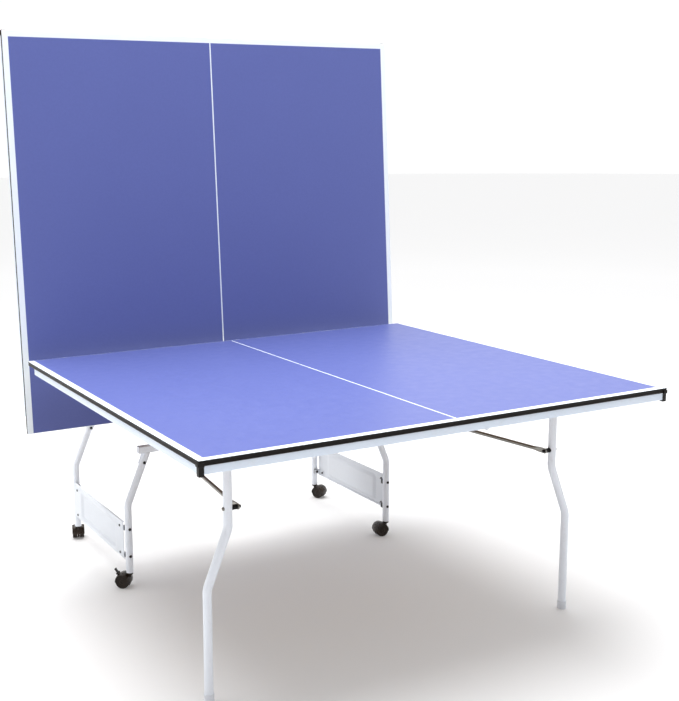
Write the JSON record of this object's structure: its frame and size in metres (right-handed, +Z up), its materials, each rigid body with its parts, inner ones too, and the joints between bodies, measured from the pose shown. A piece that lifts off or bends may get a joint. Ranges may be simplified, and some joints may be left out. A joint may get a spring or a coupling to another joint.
{
  "type": "table tennis table",
  "caption": "Folding roll-away table tennis table with one half level for play and the other upright as a rebound board, on bent tube legs with a wheeled undercarriage.",
  "frame": {"origin": "on the floor under the middle of the whole object with one half upright; the net line is at y = +0.5267 m", "axes": "+X across the table to the right as a player at the level half's end sees it, +Y along the table from the level half to the upright half, +Z up"},
  "size_m": [1.53, 1.6917, 1.8572],
  "materials": {
    "board_paint": "matt roller-coated paint on board, white lines",
    "edge_band": "satin, with a groove",
    "corner_cap": "satin moulded",
    "rail_paint": "satin powder coat",
    "frame_paint": "satin powder coat",
    "panel_paint": "satin powder coat",
    "foot_cap": "moulded",
    "link_bolt": "black moulded spacer and blackened bolt",
    "zinc_steel": "zinc plated",
    "saddle": "moulded",
    "caster_hood": "moulded, dark brown",
    "caster_wheel": "moulded, dark brown",
    "caster_lever": "moulded, black"
  },
  "bodies": {
    "undercarriage": {"wheel_leg_front_left": "frame_paint", "wheel_leg_front_right": "frame_paint", "wheel_leg_rear_left": "frame_paint", "wheel_leg_rear_right": "frame_paint", "pivot_plate_front_left": "frame_paint", "pivot_plate_front_right": "frame_paint", "pivot_plate_rear_left": "frame_paint", "pivot_plate_rear_right": "frame_paint", "side_rail_left": "frame_paint", "side_rail_right": "frame_paint", "side_panel_left": "panel_paint", "side_panel_right": "panel_paint", "cross_tubes": "frame_paint", "tube_plugs": "foot_cap", "pivot_bolts": "zinc_steel", "panel_brackets": "panel_paint", "saddle_washers": "saddle", "frame_bolts": "zinc_steel"},
    "front_half": {"front_top": "board_paint", "front_edge_band": "edge_band", "front_end_rail": "rail_paint", "front_left_rail": "rail_paint", "front_right_rail": "rail_paint", "front_corner_caps": "corner_cap", "front_hinge_beam": "frame_paint", "front_leg_hangers": "frame_paint", "front_board_screws": "zinc_steel"},
    "front_leg_frame": {"front_leg_left": "frame_paint", "front_leg_right": "frame_paint", "front_hinge_tube": "frame_paint", "front_foot_caps": "foot_cap", "front_leg_bolts": "link_bolt"},
    "front_link_left": {"front_link_left": "zinc_steel"},
    "front_link_right": {"front_link_right": "zinc_steel"},
    "rear_half": {"rear_top": "board_paint", "rear_edge_band": "edge_band", "rear_end_rail": "rail_paint", "rear_left_rail": "rail_paint", "rear_right_rail": "rail_paint", "rear_corner_caps": "corner_cap", "rear_hinge_beam": "frame_paint", "rear_leg_hangers": "frame_paint", "rear_board_screws": "zinc_steel"},
    "rear_leg_frame": {"rear_leg_left": "frame_paint", "rear_leg_right": "frame_paint", "rear_hinge_tube": "frame_paint", "rear_foot_caps": "foot_cap", "rear_leg_bolts": "link_bolt"},
    "rear_link_left": {"rear_link_left": "zinc_steel"},
    "rear_link_right": {"rear_link_right": "zinc_steel"},
    "caster_front_left": {"caster_front_left_hood": "caster_hood"},
    "wheels_front_left": {"caster_front_left_wheels": "caster_wheel"},
    "lever_front_left": {"caster_front_left_lever": "caster_lever"},
    "caster_front_right": {"caster_front_right_hood": "caster_hood"},
    "wheels_front_right": {"caster_front_right_wheels": "caster_wheel"},
    "caster_rear_left": {"caster_rear_left_hood": "caster_hood"},
    "wheels_rear_left": {"caster_rear_left_wheels": "caster_wheel"},
    "lever_rear_left": {"caster_rear_left_lever": "caster_lever"},
    "caster_rear_right": {"caster_rear_right_hood": "caster_hood"},
    "wheels_rear_right": {"caster_rear_right_wheels": "caster_wheel"}
  },
  "joints": [
    {"name": "front_fold", "type": "hinge", "parent": "undercarriage", "child": "front_half", "pos_m": [0, 0.3637, 0.643], "axis": [-1, 0, 0], "range_deg": [0, 86]},
    {"name": "front_legs_swing", "type": "hinge", "parent": "front_half", "child": "front_leg_frame", "pos_m": [0, -0.5833, 0.65], "axis": [-1, 0, 0], "range_deg": [-86, 0]},
    {"name": "front_link_left_swing", "type": "hinge", "parent": "undercarriage", "child": "front_link_left", "pos_m": [0, 0.3637, 0.528], "axis": [-1, 0, 0], "range_deg": [0, 86]},
    {"name": "front_link_right_swing", "type": "hinge", "parent": "undercarriage", "child": "front_link_right", "pos_m": [0, 0.3637, 0.528], "axis": [-1, 0, 0], "range_deg": [0, 86]},
    {"name": "rear_fold", "type": "hinge", "parent": "undercarriage", "child": "rear_half", "pos_m": [0, 0.6897, 0.643], "axis": [1, 0, 0], "range_deg": [-86, 0]},
    {"name": "rear_legs_swing", "type": "hinge", "parent": "rear_half", "child": "rear_leg_frame", "pos_m": [0, 0.74878, 1.58818], "axis": [1, 0, 0], "range_deg": [0, 86]},
    {"name": "rear_link_left_swing", "type": "hinge", "parent": "undercarriage", "child": "rear_link_left", "pos_m": [0, 0.6897, 0.528], "axis": [1, 0, 0], "range_deg": [-86, 0]},
    {"name": "rear_link_right_swing", "type": "hinge", "parent": "undercarriage", "child": "rear_link_right", "pos_m": [0, 0.6897, 0.528], "axis": [1, 0, 0], "range_deg": [-86, 0]},
    {"name": "caster_front_left_swivel", "type": "hinge", "parent": "undercarriage", "child": "caster_front_left", "pos_m": [-0.52, 0.2617, 0.053], "axis": [0, 0, 1], "continuous": true},
    {"name": "caster_front_left_roll", "type": "hinge", "parent": "caster_front_left", "child": "wheels_front_left", "pos_m": [-0.53685, 0.27584, 0.024], "axis": [-0.6428, -0.766, 0], "continuous": true},
    {"name": "caster_front_left_brake", "type": "hinge", "parent": "caster_front_left", "child": "lever_front_left", "pos_m": [-0.55217, 0.28869, 0.04782], "axis": [-0.6428, -0.766, 0], "range_deg": [0, 25]},
    {"name": "caster_front_right_swivel", "type": "hinge", "parent": "undercarriage", "child": "caster_front_right", "pos_m": [0.52, 0.2617, 0.053], "axis": [0, 0, 1], "continuous": true},
    {"name": "caster_front_right_roll", "type": "hinge", "parent": "caster_front_right", "child": "wheels_front_right", "pos_m": [0.49821, 0.26476, 0.024], "axis": [-0.1392, -0.9903, 0], "continuous": true},
    {"name": "caster_rear_left_swivel", "type": "hinge", "parent": "undercarriage", "child": "caster_rear_left", "pos_m": [-0.52, 0.7917, 0.053], "axis": [0, 0, 1], "continuous": true},
    {"name": "caster_rear_left_roll", "type": "hinge", "parent": "caster_rear_left", "child": "wheels_rear_left", "pos_m": [-0.5132, 0.81262, 0.024], "axis": [-0.9511, 0.309, 0], "continuous": true},
    {"name": "caster_rear_left_brake", "type": "hinge", "parent": "caster_rear_left", "child": "lever_rear_left", "pos_m": [-0.50702, 0.83164, 0.04782], "axis": [-0.9511, 0.309, 0], "range_deg": [0, 25]},
    {"name": "caster_rear_right_swivel", "type": "hinge", "parent": "undercarriage", "child": "caster_rear_right", "pos_m": [0.52, 0.7917, 0.053], "axis": [0, 0, 1], "continuous": true},
    {"name": "caster_rear_right_roll", "type": "hinge", "parent": "caster_rear_right", "child": "wheels_rear_right", "pos_m": [0.53133, 0.77284, 0.024], "axis": [0.8572, 0.515, 0], "continuous": true}
  ],
  "couplings": [
    {"joint": "front_legs_swing", "follows": "front_fold", "ratio": -1},
    {"joint": "front_link_left_swing", "follows": "front_fold", "ratio": 1},
    {"joint": "front_link_right_swing", "follows": "front_fold", "ratio": 1},
    {"joint": "rear_legs_swing", "follows": "rear_fold", "ratio": -1},
    {"joint": "rear_link_left_swing", "follows": "rear_fold", "ratio": 1},
    {"joint": "rear_link_right_swing", "follows": "rear_fold", "ratio": 1}
  ]
}
